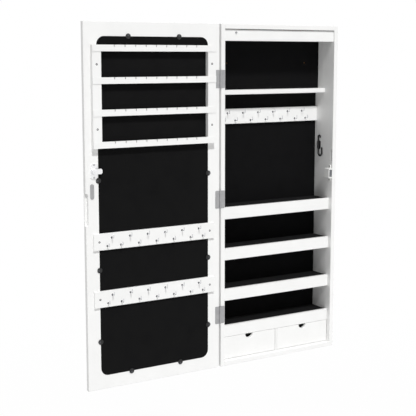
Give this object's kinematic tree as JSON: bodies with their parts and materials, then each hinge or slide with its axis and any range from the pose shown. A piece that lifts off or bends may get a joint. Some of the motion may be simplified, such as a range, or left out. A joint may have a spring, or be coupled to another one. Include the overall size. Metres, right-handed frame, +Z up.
{
  "type": "wall jewellery cabinet with mirror door",
  "caption": "Slim white wall cabinet for jewellery with a mirror door, lined shelves, small drawers, an earring rack, necklace hooks, a magnetic catch and a cam lock.",
  "frame": {"origin": "centre of the case's back face, on the wall, at half the case's height", "axes": "+X to the right as one faces the cabinet, +Y into the wall, +Z up; the door is stored open by half a turn, beside the case on the -X side"},
  "size_m": [0.7557, 0.1031, 0.9],
  "materials": {
    "white_board": "white lacquered fibreboard, satin",
    "back_board": "raw hardboard",
    "black_lining": "black flannelette on card",
    "mirror": "silvered glass",
    "clip_plastic": "black moulded",
    "hook_steel": "bright plated wire",
    "hinge_steel": "nickel plated",
    "screw_steel": "zinc plated",
    "lock_chrome": "bright plated",
    "catch_plastic": "white moulded",
    "magnet_steel": "ground poles",
    "black_coated_wire": "black powder coat",
    "light_button": "grey moulded",
    "led_strip": "white circuit board",
    "diffuser": "milky",
    "battery_plastic": "white moulded"
  },
  "bodies": {
    "case": {"back_panel": "back_board", "battery_box": "battery_plastic", "case_bottom": "white_board", "case_hook_strip": "white_board", "case_hooks": "hook_steel", "case_left_side": "white_board", "case_right_side": "white_board", "case_screws": "screw_steel", "case_top": "white_board", "catch_housing": "catch_plastic", "catch_magnet": "magnet_steel", "drawer_divider": "white_board", "hanging_board": "back_board", "hinge_case_leaves": "hinge_steel", "hinge_pins": "hinge_steel", "led_diffuser": "diffuser", "led_strip": "led_strip", "lower_lining": "black_lining", "shelf_a": "white_board", "shelf_b": "white_board", "shelf_c": "white_board", "shelf_d": "white_board", "shelf_linings": "black_lining", "shelf_rail_a": "white_board", "shelf_rail_b": "white_board", "shelf_rail_c": "white_board", "shelf_rail_d": "white_board", "upper_lining": "black_lining", "upper_shelf": "white_board", "valance": "white_board", "wall_hook": "black_coated_wire"},
    "door": {"door_frame": "white_board", "mirror_glass": "mirror", "door_backing": "black_lining", "mirror_clips": "clip_plastic", "rack_left_side": "white_board", "rack_right_side": "white_board", "rack_rail_a": "white_board", "rack_rail_b": "white_board", "rack_rail_c": "white_board", "rack_rail_d": "white_board", "door_upper_strip": "white_board", "door_upper_hooks": "hook_steel", "door_lower_strip": "white_board", "door_lower_hooks": "hook_steel", "lock_barrel": "lock_chrome", "lock_plate": "lock_chrome", "strike_plate": "hinge_steel", "hinge_door_leaves": "hinge_steel", "door_screws": "screw_steel"},
    "lock_cam": {"lock_plug": "lock_chrome", "lock_cam": "lock_chrome", "cam_nut": "lock_chrome"},
    "drawer_left": {"drawer_left_front": "white_board", "drawer_left_box": "white_board", "drawer_left_lining": "black_lining"},
    "drawer_right": {"drawer_right_front": "white_board", "drawer_right_box": "white_board", "drawer_right_lining": "black_lining"},
    "light_button": {"light_button": "light_button"}
  },
  "joints": [
    {"name": "door_hinge", "type": "hinge", "parent": "case", "child": "door", "pos_m": [-0.19035, -0.08675, 0], "axis": [0, 0, -1], "range_deg": [-180, 0]},
    {"name": "drawer_left_slide", "type": "slide", "parent": "case", "child": "drawer_left", "axis": [0, -1, 0], "range_m": [0, 0.05]},
    {"name": "drawer_right_slide", "type": "slide", "parent": "case", "child": "drawer_right", "axis": [0, -1, 0], "range_m": [0, 0.05]},
    {"name": "lock_turn", "type": "hinge", "parent": "door", "child": "lock_cam", "pos_m": [-0.5454, -0.08, 0.095], "axis": [0, -1, 0], "range_deg": [0, 180]},
    {"name": "light_push", "type": "slide", "parent": "case", "child": "light_button", "axis": [0, 1, 0], "range_m": [0, 0.002], "stiffness_N_per_m": 300, "springref_m": -0.001}
  ]
}
